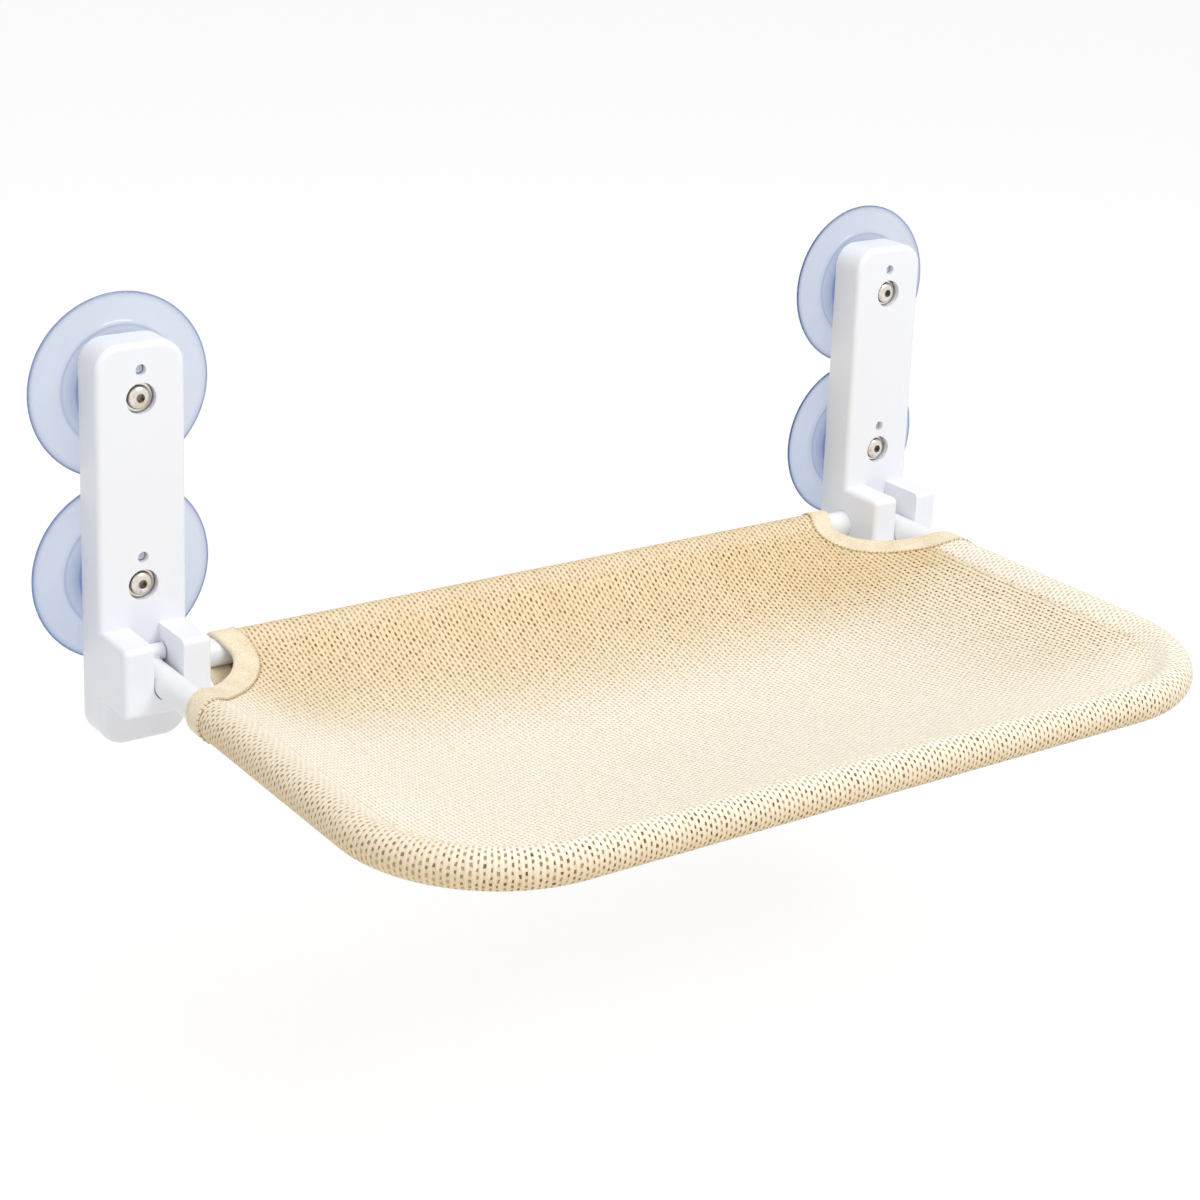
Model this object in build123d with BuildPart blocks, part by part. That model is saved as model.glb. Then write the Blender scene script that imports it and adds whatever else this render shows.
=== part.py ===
from build123d import *
import os

os.makedirs("parts", exist_ok=True)

# Window perch. X runs along the window, the glass is the plane Y = 0, the room is towards -Y, Z is up.
# The origin is on the glass, midway between the brackets, at the height of the upper suction cups.

# Whole perch
bracket_spacing = 476
hinge_drop = 43
frame_reach = 312
frame_bend = 72
cut_overrun = 2

# Bracket housing
plate_width = 47
plate_rise = 28
foot_below = 40
plate_corner = 13
plate_thickness = 21
glass_gap = 6
edge_round = 3
side_wall = 2.6
front_wall = 3
rib_wall = 1.8
cover_thickness = 2
cover_clearance = 0.25

# Hinge block on the bracket
block_depth = 28.5
block_rise = 21.5
block_foot = 15
block_round = 3
slot_width = 16
slot_wall = 3.5
pocket_round = 1.5

# Tubes and hinge
tube_diameter = 15
tube_wall = 1.2
fit_clearance = 0.15
crossbar_inset = 0.5
spigot_length = 7
pivot_forward = 4.9
pivot_rise = 8.3
pin_diameter = 5
pin_running_fit = 0.05
barrel_radius = 4.5
heel_gap = 0.3
heel_round = 3
knuckle_side_gap = 0.6
knuckle_plug_length = 26
web_width = 8
dowel_diameter = 3
dowel_setback = 12
dowel_rise = 4

# Suction cups and their fasteners
cup_radius = 47.8
cup_gap = 0.4
lip_thickness = 1.4
lip_contact = 7
ring_radius = 32.5
ring_height = 3.4
dome_radius = 25
cup_cavity = 1.4
neck_radius = 11.5
neck_length = 9.5
neck_clearance = 0.3
peg_radius = 2.3
peg_offset = 14.5
peg_setback = 3
peg_clearance = 0.5
insert_radius = 5.5
insert_length = 8
insert_flange = 1.2
bore_radius = 8
bore_depth = 5
boss_wall = 3
washer_radius = 7.6
washer_thickness = 1.2
head_radius = 6.1
head_height = 3.3
socket_across_flats = 4
socket_depth = 2
screw_radius = 3
screw_clearance = 0.25
screw_reach = 13

# Cover screws
cover_screw_radius = 1.5
cover_head_radius = 2.9
cover_head_height = 0.9
cover_screw_length = 9
cover_boss_radius = 3.6
cover_screw_inset = 8.5

# Sling of woven fabric
fabric_thickness = 1.6
fabric_clearance = 0.3
hem_wall = 2
sag_depth = 32
hem_start = 64
rear_sleeve_start = 40
cutout_across = 40
cutout_along = 64
cutout_straight = 21
cutout_round = 24
binding_width = 12
binding_extra = 0.5

# Worked out from the sizes above
half_spacing = bracket_spacing / 2
cup_drop = 2 * cup_radius + cup_gap
tube_drop = cup_drop + hinge_drop
plate_foot = tube_drop + foot_below
face_out = glass_gap + plate_thickness
plate_length = plate_rise + plate_foot
plate_middle = (plate_rise - plate_foot) / 2
tube_radius = tube_diameter / 2
tube_bore = tube_radius - tube_wall
block_height = block_rise + block_foot
block_middle = -tube_drop + (block_rise - block_foot) / 2
half_slot = slot_width / 2
pin_radius = pin_diameter / 2
pivot_out = face_out + pivot_forward
pivot_height = -tube_drop + pivot_rise
cavity_depth = plate_thickness - front_wall
pocket_width = plate_width / 2 - side_wall - half_slot - slot_wall
pocket_centre = half_slot + slot_wall + pocket_width / 2
cover_seat = glass_gap + cover_thickness
bore_floor = face_out - bore_depth
neck_top = glass_gap - neck_clearance + neck_length
rib_x = half_slot + slot_wall / 2
neck_reach = neck_radius + neck_clearance
rib_spans = [
    (plate_rise, peg_offset),
    (-neck_reach, peg_offset - cup_drop),
    (-cup_drop - neck_reach, block_middle + block_height / 2),
]
rib_shares = [0.25, 0.5, 0.75]
cup_heights = [0, -cup_drop]
cover_screw_places = [
    (-plate_width / 2 + cover_screw_inset, -cup_drop / 2),
    (plate_width / 2 - cover_screw_inset, -cup_drop / 2),
    (0, -plate_foot + cover_screw_inset),
]


def on_glass(height):
    """Sketch plane parallel to the glass, this far into the room, centred on the left bracket."""
    return Plane.XZ.offset(height).move(Location((-half_spacing, 0, 0)))


# Hinge block, the solid that stands forward of the plate
with BuildPart() as hinge_block:
    with BuildSketch(on_glass(face_out - front_wall)):
        with Locations((0, block_middle)):
            Rectangle(plate_width, block_height)
    extrude(amount=block_depth + front_wall)
    front = hinge_block.faces().sort_by(Axis.Y)[0]
    fillet(front.edges() + hinge_block.edges().filter_by(Axis.Y), block_round)

# Left bracket housing: a moulding that is open at the back
with BuildPart() as bracket_left:
    with BuildSketch(on_glass(glass_gap)):
        with Locations((0, plate_middle)):
            RectangleRounded(plate_width, plate_length, plate_corner)
    extrude(amount=plate_thickness)
    fillet(bracket_left.faces().sort_by(Axis.Y)[0].edges(), edge_round)
    add(hinge_block.part)
    # The hollow back and the pocket in each cheek
    with BuildSketch(on_glass(glass_gap)):
        with Locations((0, plate_middle)):
            RectangleRounded(
                plate_width - 2 * side_wall,
                plate_length - 2 * side_wall,
                plate_corner - side_wall,
            )
    extrude(amount=cavity_depth, mode=Mode.SUBTRACT)
    with BuildSketch(on_glass(glass_gap + cavity_depth - front_wall)):
        with Locations((-pocket_centre, block_middle), (pocket_centre, block_middle)):
            RectangleRounded(pocket_width, block_height - 2 * side_wall, pocket_round)
    extrude(amount=block_depth + front_wall, mode=Mode.SUBTRACT)
    # Ribs behind the slot carry the cheeks back to the cover
    with BuildSketch(on_glass(cover_seat)):
        with Locations((-rib_x, block_middle), (rib_x, block_middle)):
            Rectangle(slot_wall, block_height)
        with Locations(
            (0, block_middle + block_height / 2), (0, block_middle - block_height / 2)
        ):
            Rectangle(plate_width - side_wall, side_wall)
    extrude(amount=cavity_depth - cover_thickness + front_wall / 2)
    # Ribs that stiffen the front wall and carry the cover, upright between the necks and across
    with BuildSketch(on_glass(cover_seat)):
        for high, low in rib_spans:
            with Locations((0, (high + low) / 2)):
                Rectangle(rib_wall, high - low)
        for share in rib_shares:
            with Locations((0, -share * cup_drop)):
                Rectangle(plate_width - side_wall, rib_wall)
    extrude(amount=cavity_depth - cover_thickness + front_wall / 2)
    # Slot for the rail, open at the front and the top, with a round floor
    with BuildSketch(on_glass(face_out)):
        with Locations((0, -tube_drop)):
            Circle(half_slot)
        with Locations((0, -tube_drop + block_height / 2)):
            Rectangle(slot_width, block_height)
    extrude(amount=block_depth + cut_overrun, mode=Mode.SUBTRACT)
    # Saddles for the hinge pin, open at the back so that the pin drops in
    with BuildSketch(on_glass(cover_seat)):
        with Locations((-rib_x, pivot_height), (rib_x, pivot_height)):
            Rectangle(slot_wall, 2 * (pin_radius + fit_clearance))
    extrude(amount=pivot_out - cover_seat, mode=Mode.SUBTRACT)
    with BuildSketch(Plane.YZ.offset(-half_spacing - half_slot - slot_wall)):
        with Locations((-pivot_out, pivot_height)):
            Circle(pin_radius + fit_clearance)
    extrude(amount=slot_width + 2 * slot_wall, mode=Mode.SUBTRACT)
    # Seat of the crossbar in the inner cheek: a hole in the side and a spigot inside the tube
    with BuildSketch(Plane.YZ.offset(-half_spacing + half_slot + slot_wall)):
        with Locations((-face_out, -tube_drop)):
            Circle(tube_radius + fit_clearance)
    extrude(amount=plate_width / 2, mode=Mode.SUBTRACT)
    with BuildSketch(Plane.YZ.offset(-half_spacing + half_slot + slot_wall)):
        with Locations((-face_out, -tube_drop)):
            Circle(tube_bore - fit_clearance)
    extrude(amount=spigot_length)
    # Bosses and stepped bores of the cup screws, and the holes of the locating pegs
    with BuildSketch(on_glass(neck_top + neck_clearance)):
        for height in cup_heights:
            with Locations((0, height)):
                Circle(bore_radius + boss_wall)
            with Locations((0, height + peg_offset)):
                Circle(peg_radius + peg_clearance + boss_wall / 2)
    extrude(until=Until.NEXT)
    with BuildSketch(on_glass(bore_floor)):
        for height in cup_heights:
            with Locations((0, height)):
                Circle(bore_radius)
    extrude(amount=bore_depth + cut_overrun, mode=Mode.SUBTRACT)
    with BuildSketch(on_glass(glass_gap)):
        for height in cup_heights:
            with Locations((0, height)):
                Circle(screw_radius + screw_clearance)
            with Locations((0, height + peg_offset)):
                Circle(peg_radius + peg_clearance)
    extrude(amount=plate_thickness + cut_overrun, mode=Mode.SUBTRACT)
    # Bosses of the cover screws
    with BuildSketch(on_glass(cover_seat)):
        with Locations(*cover_screw_places):
            Circle(cover_boss_radius)
    extrude(until=Until.NEXT)
    with BuildSketch(on_glass(cover_seat)):
        with Locations(*cover_screw_places):
            Circle(cover_screw_radius)
    extrude(amount=cover_screw_length, mode=Mode.SUBTRACT)
print("bracket", bracket_left.part.is_valid, len(bracket_left.solids()), bracket_left.part.volume)
export_step(bracket_left.part, "parts/bracket_left.step")

with BuildPart() as bracket_right:
    mirror(bracket_left.part, about=Plane.YZ)

# Back cover: closes the housing, with holes for the cup necks and fingers that hold the hinge pin
with BuildPart() as back_cover_left:
    cover_inset = side_wall + cover_clearance
    with BuildSketch(on_glass(glass_gap)):
        with Locations((0, plate_middle)):
            RectangleRounded(
                plate_width - 2 * cover_inset,
                plate_length - 2 * cover_inset,
                plate_corner - cover_inset,
            )
        for height in cup_heights:
            with Locations((0, height)):
                Circle(neck_reach, mode=Mode.SUBTRACT)
            with Locations((0, height + peg_offset)):
                Circle(peg_radius + peg_clearance, mode=Mode.SUBTRACT)
        with Locations(*cover_screw_places):
            Circle(cover_screw_radius + screw_clearance, mode=Mode.SUBTRACT)
    extrude(amount=cover_thickness)
    with BuildSketch(on_glass(glass_gap)):
        with Locations(*cover_screw_places):
            Circle(cover_head_radius + screw_clearance)
    extrude(amount=cover_head_height, mode=Mode.SUBTRACT)
    with BuildSketch(on_glass(cover_seat)):
        with Locations((-rib_x, pivot_height), (rib_x, pivot_height)):
            Rectangle(slot_wall - fit_clearance, pin_diameter)
    extrude(amount=pivot_out - pin_radius - fit_clearance - cover_seat)

with BuildPart() as back_cover_right:
    mirror(back_cover_left.part, about=Plane.YZ)

# Self-tapping screws of the cover, made once with the head at the back
with BuildPart() as cover_screw:
    Cylinder(cover_head_radius, cover_head_height, align=(Align.CENTER, Align.CENTER, Align.MIN))
    Cylinder(
        cover_screw_radius - fit_clearance,
        cover_screw_length,
        align=(Align.CENTER, Align.CENTER, Align.MIN),
    )

with BuildPart() as cover_screws_left:
    for across, height in cover_screw_places:
        with Locations(Location((across - half_spacing, -glass_gap, height), (90, 0, 0))):
            add(cover_screw.part)

with BuildPart() as cover_screws_right:
    mirror(cover_screws_left.part, about=Plane.YZ)

# Suction cup, made once with its axis on Z and the glass at Z = 0
with BuildPart() as cup:
    shoulder = glass_gap - neck_clearance
    with BuildSketch(Plane.XZ):
        with BuildLine():
            lip_edge = Line((cup_radius - lip_contact, 0), (cup_radius - lip_thickness / 2, 0))
            rim = ThreePointArc(
                lip_edge @ 1,
                (cup_radius, lip_thickness / 2),
                (cup_radius - lip_thickness / 2, lip_thickness),
            )
            skirt = Spline(
                rim @ 1,
                ((cup_radius + ring_radius) / 2, (lip_thickness + ring_height) / 2),
                (ring_radius, ring_height - lip_thickness / 2),
                tangents=((-1, 0), (-1, 0)),
            )
            step = Line(skirt @ 1, (ring_radius - lip_thickness / 2, ring_height))
            dome = Spline(
                step @ 1,
                (dome_radius, shoulder - lip_thickness / 2),
                (neck_radius + boss_wall, shoulder),
                tangents=((-1, 0), (-1, 0)),
            )
            top = Polyline(
                dome @ 1,
                (neck_radius, shoulder),
                (neck_radius, neck_top),
                (screw_radius + screw_clearance, neck_top),
                (screw_radius + screw_clearance, neck_top - insert_flange),
                (insert_radius, neck_top - insert_flange),
                (insert_radius, neck_top - insert_flange - insert_length),
                (0, neck_top - insert_flange - insert_length),
                (0, cup_cavity),
            )
            hollow = Spline(top @ 1, lip_edge @ 0, tangents=((1, 0), (1, -cup_cavity / cup_radius)))
        make_face()
    revolve(axis=Axis.Z)
    with BuildSketch(Plane.XY.offset(shoulder - lip_thickness)):
        with Locations((0, peg_offset)):
            Circle(peg_radius)
    extrude(amount=face_out - peg_setback - shoulder + lip_thickness)

# Threaded insert moulded into the neck
with BuildPart() as insert:
    with BuildSketch(Plane.XY.offset(neck_top - insert_flange - insert_length)):
        RegularPolygon(insert_radius, 6)
        Circle(screw_radius, mode=Mode.SUBTRACT)
    extrude(amount=insert_length)

# Washer, and button head screw with a hexagon socket
with BuildPart() as washer:
    with BuildSketch(Plane.XY.offset(bore_floor)):
        Circle(washer_radius)
        Circle(screw_radius + screw_clearance, mode=Mode.SUBTRACT)
    extrude(amount=washer_thickness)

with BuildPart() as screw:
    head_seat = bore_floor + washer_thickness
    with BuildSketch(Plane.XZ):
        with BuildLine():
            shank = Polyline(
                (0, head_seat - screw_reach),
                (screw_radius, head_seat - screw_reach),
                (screw_radius, head_seat),
                (head_radius, head_seat),
                (head_radius, head_seat + head_height / 4),
            )
            crown = Spline(
                shank @ 1,
                (head_radius * 2 / 3, head_seat + head_height * 5 / 6),
                (0, head_seat + head_height),
                tangents=((-1 / 4, 1), (-1, 0)),
            )
            Line(crown @ 1, shank @ 0)
        make_face()
    revolve(axis=Axis.Z)
    with BuildSketch(Plane.XY.offset(head_seat + head_height)):
        RegularPolygon(socket_across_flats / 2, 6, major_radius=False)
    extrude(amount=-socket_depth, mode=Mode.SUBTRACT)

cup_group = {}
for side_name, side in (("left", -1), ("right", 1)):
    for row_name, height in (("upper", 0), ("lower", -cup_drop)):
        for kind, piece in (
            ("suction_cup", cup),
            ("cup_insert", insert),
            ("cup_washer", washer),
            ("cup_screw", screw),
        ):
            with BuildPart() as placed:
                with Locations(Location((side * half_spacing, 0, height), (90, 0, 0))):
                    add(piece.part)
            cup_group[f"{kind}_{row_name}_{side_name}"] = placed

# Crossbar: a straight tube between the inner cheeks
with BuildPart() as crossbar:
    crossbar_end = half_spacing - half_slot - slot_wall - crossbar_inset
    with BuildSketch(Plane.YZ.offset(-crossbar_end)):
        with Locations((-face_out, -tube_drop)):
            Circle(tube_radius)
            Circle(tube_bore, mode=Mode.SUBTRACT)
    extrude(amount=2 * crossbar_end)

# Folding frame: one bent tube, with both ends at the hinges
tube_end = pivot_out + barrel_radius + knuckle_side_gap


def frame_path(first):
    """Centre line of the bent tube, from this far out of the glass on the left round to the right."""
    with BuildLine(Plane.XY.offset(-tube_drop)) as path:
        corner = frame_reach - frame_bend
        left = Line((-half_spacing, -first), (-half_spacing, -corner))
        bend = TangentArc(left @ 1, (-half_spacing + frame_bend, -frame_reach), tangent=left % 1)
        run = Line(bend @ 1, (half_spacing - frame_bend, -frame_reach))
        turn = TangentArc(run @ 1, (half_spacing, -corner), tangent=run % 1)
        Line(turn @ 1, (half_spacing, -first))
    return path.wires()[0]


with BuildPart() as folding_frame:
    with BuildSketch(on_glass(tube_end)):
        with Locations((0, -tube_drop)):
            Circle(tube_radius)
            Circle(tube_bore, mode=Mode.SUBTRACT)
    sweep(path=frame_path(tube_end))
    # The dowel holes are drilled from below, so that nothing shows on top
    with BuildSketch(Plane.XY.offset(-tube_drop)):
        with Locations(
            (-half_spacing, -tube_end - dowel_setback), (half_spacing, -tube_end - dowel_setback)
        ):
            Circle(dowel_diameter / 2)
    extrude(amount=-tube_diameter, mode=Mode.SUBTRACT)

# Knuckle: plug for the tube end, with the barrel that turns on the hinge pin
with BuildPart() as knuckle_left:
    knuckle_half = half_slot - knuckle_side_gap
    heel_out = face_out + heel_gap
    with BuildSketch(on_glass(heel_out)):
        with Locations((0, -tube_drop)):
            Circle(knuckle_half)
    extrude(amount=tube_end - heel_out)
    with BuildSketch(Plane.YZ.offset(-half_spacing - knuckle_half)):
        with Locations((-pivot_out, pivot_height)):
            Circle(barrel_radius)
    extrude(amount=2 * knuckle_half)
    # A web narrower than the barrel joins it to the round heel
    with BuildSketch(Plane.YZ.offset(-half_spacing - web_width / 2)):
        with BuildLine():
            Polyline(
                (-heel_out, pivot_height),
                (-heel_out, -tube_drop),
                (-tube_end, -tube_drop),
                (-tube_end, -tube_drop + knuckle_half / 2),
                (-pivot_out - barrel_radius, pivot_height),
                close=True,
            )
        make_face()
    extrude(amount=web_width)
    with BuildSketch(on_glass(tube_end)):
        with Locations((0, -tube_drop)):
            Circle(tube_bore - fit_clearance)
    extrude(amount=knuckle_plug_length)
    # The heel is rounded so that it swings clear of the slot floor
    with BuildSketch(Plane.YZ.offset(-half_spacing - knuckle_half)):
        with BuildLine():
            heel_low = -tube_drop - knuckle_half
            foot = Line((-heel_out - heel_round, heel_low), (-heel_out, heel_low))
            back = Line(foot @ 1, (-heel_out, heel_low + heel_round))
            TangentArc(back @ 1, foot @ 0, tangent=(0, -1))
        make_face()
    extrude(amount=2 * knuckle_half, mode=Mode.SUBTRACT)
    with BuildSketch(Plane.YZ.offset(-half_spacing - knuckle_half)):
        with Locations((-pivot_out, pivot_height)):
            Circle(pin_radius + pin_running_fit)
    extrude(amount=2 * knuckle_half, mode=Mode.SUBTRACT)
    with BuildSketch(Plane.XY.offset(-tube_drop + dowel_rise)):
        with Locations((-half_spacing, -tube_end - dowel_setback)):
            Circle(dowel_diameter / 2)
    extrude(amount=-tube_diameter, mode=Mode.SUBTRACT)

with BuildPart() as knuckle_right:
    mirror(knuckle_left.part, about=Plane.YZ)

# Dowel that holds the plug in the tube, pressed in from below until it is flush
with BuildPart() as dowel_left:
    with BuildSketch(Plane.XY.offset(-tube_drop + dowel_rise - fit_clearance)):
        with Locations((-half_spacing, -tube_end - dowel_setback)):
            Circle((dowel_diameter - fit_clearance) / 2)
    extrude(amount=-dowel_rise - tube_radius + 2 * fit_clearance)

with BuildPart() as dowel_right:
    mirror(dowel_left.part, about=Plane.YZ)

with BuildPart() as hinge_pin_left:
    pin_half = half_slot + slot_wall - crossbar_inset
    with BuildSketch(Plane.YZ.offset(-half_spacing - pin_half)):
        with Locations((-pivot_out, pivot_height)):
            Circle(pin_radius)
    extrude(amount=2 * pin_half)

with BuildPart() as hinge_pin_right:
    mirror(hinge_pin_left.part, about=Plane.YZ)

# Sling: a hem that runs round the bent tube, a panel that sags between, and a sleeve on the crossbar
hem_inner = tube_radius + fabric_clearance
hem_outer = hem_inner + hem_wall
hem_first = face_out + hem_start

with BuildPart() as sling_hem:
    with BuildSketch(on_glass(hem_first)):
        with Locations((0, -tube_drop)):
            Circle(hem_outer)
            Circle(hem_inner, mode=Mode.SUBTRACT)
    sweep(path=frame_path(hem_first))

with BuildPart() as rear_sleeve:
    sleeve_end = half_spacing - rear_sleeve_start
    with BuildSketch(Plane.YZ.offset(-sleeve_end)):
        with Locations((-face_out, -tube_drop)):
            Circle(hem_outer)
            Circle(hem_inner, mode=Mode.SUBTRACT)
    extrude(amount=2 * sleeve_end)

panel_first = face_out + hem_outer + fabric_clearance
panel_last = frame_reach - hem_outer - fabric_clearance
panel_half = half_spacing - hem_outer - fabric_clearance
panel_bend = frame_bend - hem_outer - fabric_clearance
sag_shares = [(0, 0), (0.12, 0.42), (0.3, 0.86), (0.52, 1), (0.75, 0.84), (0.92, 0.38), (1, 0.12)]
rim_slope_share = 2.6


def dish(thickness, lift):
    """The sagging sheet between the tubes, as a loft through profiles from the glass side to the front."""
    sheet_first = panel_first - cut_overrun
    sheet_last = panel_last + cut_overrun
    sheet_half = panel_half + cut_overrun
    with BuildPart() as sheet:
        for along_share, depth_share in sag_shares:
            out = sheet_first + along_share * (sheet_last - sheet_first)
            level = -tube_drop + lift
            low = level - sag_depth * depth_share
            slope = rim_slope_share * sag_depth * depth_share / sheet_half
            ends = ((1, -slope), (1, slope))
            with BuildSketch(Plane.XZ.offset(out)):
                with BuildLine():
                    upper = Spline((-sheet_half, level), (0, low), (sheet_half, level), tangents=ends)
                    lower = Spline(
                        (-sheet_half, level - thickness),
                        (0, low - thickness),
                        (sheet_half, level - thickness),
                        tangents=ends,
                    )
                    Line(upper @ 0, lower @ 0)
                    Line(upper @ 1, lower @ 1)
                make_face()
        loft()
    return sheet


def corner_prism(grow):
    """Upright prisms over both rear corner cut-outs, larger than the opening by the given width."""
    with BuildPart() as prisms:
        with BuildSketch(Plane.XY.offset(-tube_drop - 2 * sag_depth)):
            with BuildLine():
                cut = FilletPolyline(
                    (-half_spacing + cutout_across, 0),
                    (-half_spacing + cutout_across, -face_out - cutout_straight),
                    (-half_spacing, -face_out - cutout_along),
                    radius=cutout_round,
                )
                Polyline(cut @ 1, (-half_spacing, 0), cut @ 0)
            make_face()
            if grow:
                offset(amount=grow, kind=Kind.INTERSECTION)
            mirror(about=Plane.YZ)
        extrude(amount=4 * sag_depth)
    return prisms


with BuildPart() as panel_outline:
    with BuildSketch(Plane.XY.offset(-tube_drop - 2 * sag_depth)) as outline:
        with Locations((0, -(panel_first + panel_last) / 2)):
            Rectangle(2 * panel_half, panel_last - panel_first)
        fillet(outline.vertices().group_by(Axis.Y)[0], panel_bend)
    extrude(amount=4 * sag_depth)

with BuildPart() as sling_panel:
    add(dish(fabric_thickness, fabric_thickness / 2).part)
    add(panel_outline.part, mode=Mode.INTERSECT)
    add(corner_prism(binding_width + fabric_clearance).part, mode=Mode.SUBTRACT)
print("panel", sling_panel.part.is_valid, len(sling_panel.solids()), sling_panel.part.bounding_box())

with BuildPart() as bindings:
    add(dish(fabric_thickness + 2 * binding_extra, fabric_thickness / 2 + binding_extra).part)
    add(panel_outline.part, mode=Mode.INTERSECT)
    add(corner_prism(binding_width).part, mode=Mode.INTERSECT)
    add(corner_prism(0).part, mode=Mode.SUBTRACT)
print("bindings", bindings.part.is_valid, len(bindings.solids()))

with BuildPart() as binding_left:
    add(bindings.solids().sort_by(Axis.X)[0])

with BuildPart() as binding_right:
    add(bindings.solids().sort_by(Axis.X)[-1])

finished = {
    "bracket_left": bracket_left,
    "bracket_right": bracket_right,
    "back_cover_left": back_cover_left,
    "back_cover_right": back_cover_right,
    "cover_screws_left": cover_screws_left,
    "cover_screws_right": cover_screws_right,
    "crossbar": crossbar,
    "folding_frame": folding_frame,
    "knuckle_left": knuckle_left,
    "knuckle_right": knuckle_right,
    "knuckle_dowel_left": dowel_left,
    "knuckle_dowel_right": dowel_right,
    "hinge_pin_left": hinge_pin_left,
    "hinge_pin_right": hinge_pin_right,
    "sling_hem": sling_hem,
    "sling_panel": sling_panel,
    "sling_rear_sleeve": rear_sleeve,
    "sling_binding_left": binding_left,
    "sling_binding_right": binding_right,
}
finished.update(cup_group)
for name, piece in finished.items():
    piece.part.label = name
    export_step(piece.part, f"parts/{name}.step")
    print(name, piece.part.is_valid, len(piece.solids()), round(piece.part.volume, 1))
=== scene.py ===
import math

import bmesh
import bpy
import numpy as np
from mathutils import Matrix, Vector


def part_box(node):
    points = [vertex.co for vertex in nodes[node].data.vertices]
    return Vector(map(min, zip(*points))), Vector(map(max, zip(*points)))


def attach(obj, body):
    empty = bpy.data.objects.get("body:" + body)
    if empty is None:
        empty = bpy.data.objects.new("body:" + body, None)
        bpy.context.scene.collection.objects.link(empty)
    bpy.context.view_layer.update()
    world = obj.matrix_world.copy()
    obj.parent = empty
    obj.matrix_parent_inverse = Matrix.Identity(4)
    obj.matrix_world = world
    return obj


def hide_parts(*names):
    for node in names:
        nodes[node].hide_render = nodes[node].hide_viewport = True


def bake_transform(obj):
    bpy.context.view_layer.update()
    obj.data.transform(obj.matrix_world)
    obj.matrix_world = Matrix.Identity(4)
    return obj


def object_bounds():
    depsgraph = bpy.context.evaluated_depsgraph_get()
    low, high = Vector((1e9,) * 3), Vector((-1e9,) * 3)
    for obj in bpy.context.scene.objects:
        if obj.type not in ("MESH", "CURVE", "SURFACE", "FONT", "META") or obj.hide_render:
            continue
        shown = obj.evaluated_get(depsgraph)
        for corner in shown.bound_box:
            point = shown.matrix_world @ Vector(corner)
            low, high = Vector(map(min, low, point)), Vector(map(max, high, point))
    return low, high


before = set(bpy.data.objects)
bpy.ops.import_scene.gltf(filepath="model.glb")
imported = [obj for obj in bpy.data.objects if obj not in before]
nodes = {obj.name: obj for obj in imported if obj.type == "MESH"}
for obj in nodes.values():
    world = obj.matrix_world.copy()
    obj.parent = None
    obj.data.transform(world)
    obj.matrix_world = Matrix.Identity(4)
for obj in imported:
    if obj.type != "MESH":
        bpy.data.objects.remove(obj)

cad_low, cad_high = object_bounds()
MM = 0.001

# The view
# A plain pale floor well below the perch, soft studio lamps, and the camera at the photograph's angle.
# The camera's place, turn and lens come from a fit of the brackets and the bars to the photograph.
scene = bpy.context.scene
scene.view_settings.view_transform = "Standard"

camera_place = Vector((-0.72709, -1.11141, 0.35038))
camera_turn = 0.611
camera_tilt = 0.269
camera_roll = 0.0377
focal_pixels, frame_pixels = 2516.33, 1200
frame_shift = -0.2

forward = Vector((
    math.sin(camera_turn) * math.cos(camera_tilt),
    math.cos(camera_turn) * math.cos(camera_tilt),
    -math.sin(camera_tilt),
))
level = Vector((math.cos(camera_turn), -math.sin(camera_turn), 0))
upright = level.cross(forward)
right = math.cos(camera_roll) * level + math.sin(camera_roll) * upright
up = math.cos(camera_roll) * upright - math.sin(camera_roll) * level
camera_data = bpy.data.cameras.new("photo_camera")
camera_data.sensor_width = 36
camera_data.lens = camera_data.sensor_width * focal_pixels / frame_pixels
camera_data.shift_y = frame_shift
camera = bpy.data.objects.new("photo_camera", camera_data)
camera.matrix_world = Matrix.Translation(camera_place) @ Matrix((right, up, -forward)).transposed().to_4x4()
scene.collection.objects.link(camera)
scene.camera = camera


def paint(red, green, blue):
    """A colour given by the 0 to 255 values of a screen, as the linear values that a shader takes."""
    shares = np.array([red, green, blue]) / 255
    linear = np.where(shares <= 0.04045, shares / 12.92, ((shares + 0.055) / 1.055) ** 2.4)
    return (*linear.tolist(), 1.0)


class Mix:
    """A writer of shader nodes: each call adds one, links or sets its inputs and returns its output."""

    def __init__(self, tree):
        self.tree = tree

    def add(self, kind, inputs=None, output=0, **settings):
        made = self.tree.nodes.new(kind)
        for key, value in settings.items():
            setattr(made, key, value)
        for key, value in (inputs or {}).items():
            if isinstance(value, bpy.types.NodeSocket):
                self.tree.links.new(value, made.inputs[key])
            else:
                made.inputs[key].default_value = value
        return made.outputs[output]

    def math(self, operation, *values, clamp=False):
        return self.add("ShaderNodeMath", dict(enumerate(values)), operation=operation, use_clamp=clamp)

    def ramp(self, value, low, high, start=0.0, end=1.0):
        """Goes from start to end, evenly smoothed, as the value goes from low to high."""
        inputs = {"Value": value, "From Min": low, "From Max": high, "To Min": start, "To Max": end}
        return self.add("ShaderNodeMapRange", inputs, interpolation_type="SMOOTHSTEP")

    def blend(self, share, first, second):
        """A colour that goes from the first to the second as the share goes from 0 to 1."""
        inputs = {0: share, 6: first, 7: second}
        return self.add("ShaderNodeMix", inputs, output=2, data_type="RGBA")

    def link(self, value, shader, name):
        """Feeds a value worked out by other nodes into a named input of a shader."""
        self.tree.links.new(value, shader.inputs[name])


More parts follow.
